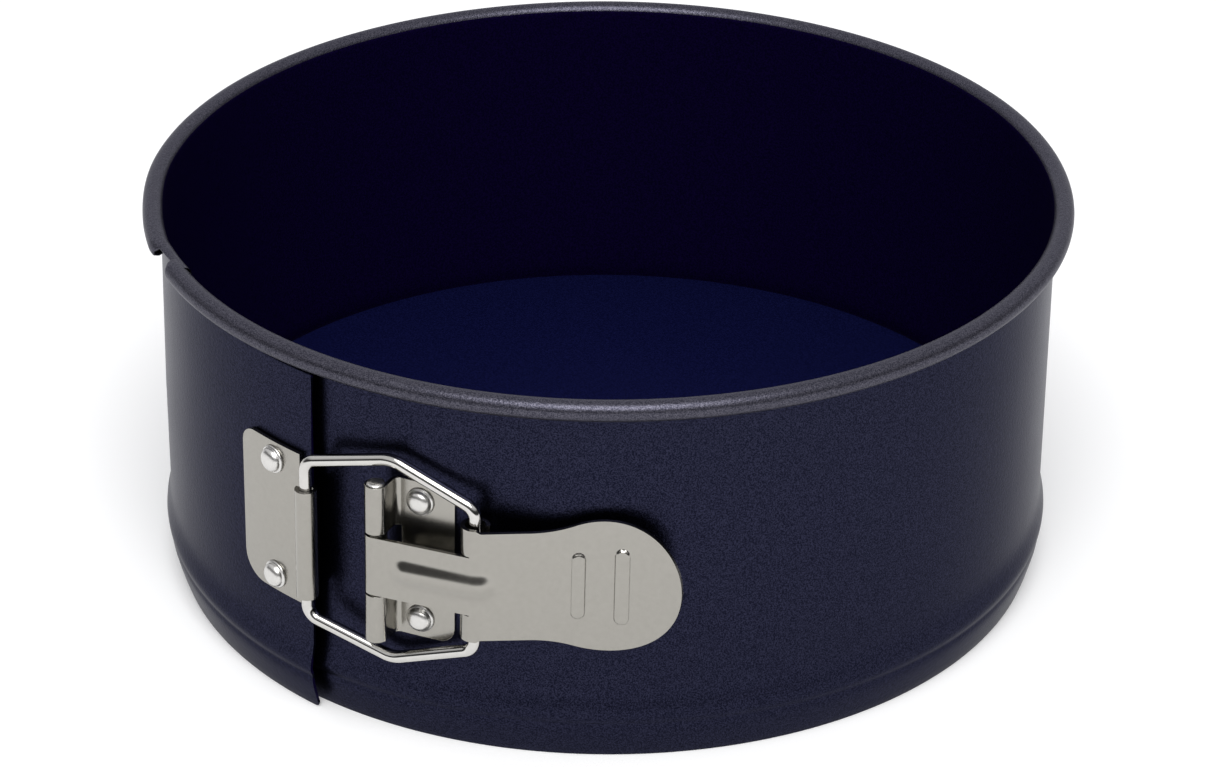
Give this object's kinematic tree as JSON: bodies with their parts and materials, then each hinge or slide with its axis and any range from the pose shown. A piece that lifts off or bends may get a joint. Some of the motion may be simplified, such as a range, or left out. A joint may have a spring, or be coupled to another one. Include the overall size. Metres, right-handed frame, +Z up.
{
  "type": "springform pan",
  "caption": "Round dark springform cake pan with a rolled rim, a loose base held in a bead, and an over-centre clasp of bright steel with a wire bail and a thumb lever",
  "frame": {"origin": "on the pan's axis, at the level of the surface it stands on", "axes": "+Z up along the pan's axis; -Y towards the clasp's hinge pin; +X to the right seen from the clasp"},
  "size_m": [0.19, 0.1934, 0.08],
  "materials": {
    "coated_steel": "dark non-stick coating, low sheen, fine speckle",
    "coated_base": "dark non-stick coating, smooth",
    "bright_sheet": "bright plated sheet steel",
    "bright_wire": "bright plated wire",
    "rivet_steel": "bright plated rivets and pin"
  },
  "bodies": {
    "ring": {"side_ring": "coated_steel", "hinge_bracket": "bright_sheet", "bracket_rivet_upper": "rivet_steel", "bracket_rivet_lower": "rivet_steel", "hinge_pin": "rivet_steel"},
    "lever": {"lever": "bright_sheet"},
    "outer_end": {"catch_plate": "bright_sheet", "catch_rivet_upper": "rivet_steel", "catch_rivet_lower": "rivet_steel"},
    "bail": {"bail": "bright_wire"},
    "base": {"base_plate": "coated_base"}
  },
  "joints": [
    {"name": "lever_turn", "type": "hinge", "parent": "ring", "child": "lever", "pos_m": [0, -0.0962, 0.0409], "axis": [0, 0, -1], "range_deg": [0, 110]},
    {"name": "ring_open", "type": "hinge", "parent": "ring", "child": "outer_end", "pos_m": [0, 0, 0.0409], "axis": [0, 0, -1], "range_deg": [0, 8.9], "deforming": ["side_ring"]},
    {"name": "bail_turn", "type": "hinge", "parent": "outer_end", "child": "bail", "pos_m": [-0.01613, -0.09504, 0.0409], "axis": [0, 0, -1], "range_deg": [0, 36]},
    {"name": "ring_lift", "type": "slide", "parent": "base", "child": "ring", "axis": [0, 0, 1], "range_m": [0, 0.09]}
  ],
  "couplings": [
    {"joint": "ring_open", "follows": "lever_turn", "ratio": 0.0809},
    {"joint": "bail_turn", "follows": "lever_turn", "ratio": 0.325}
  ]
}
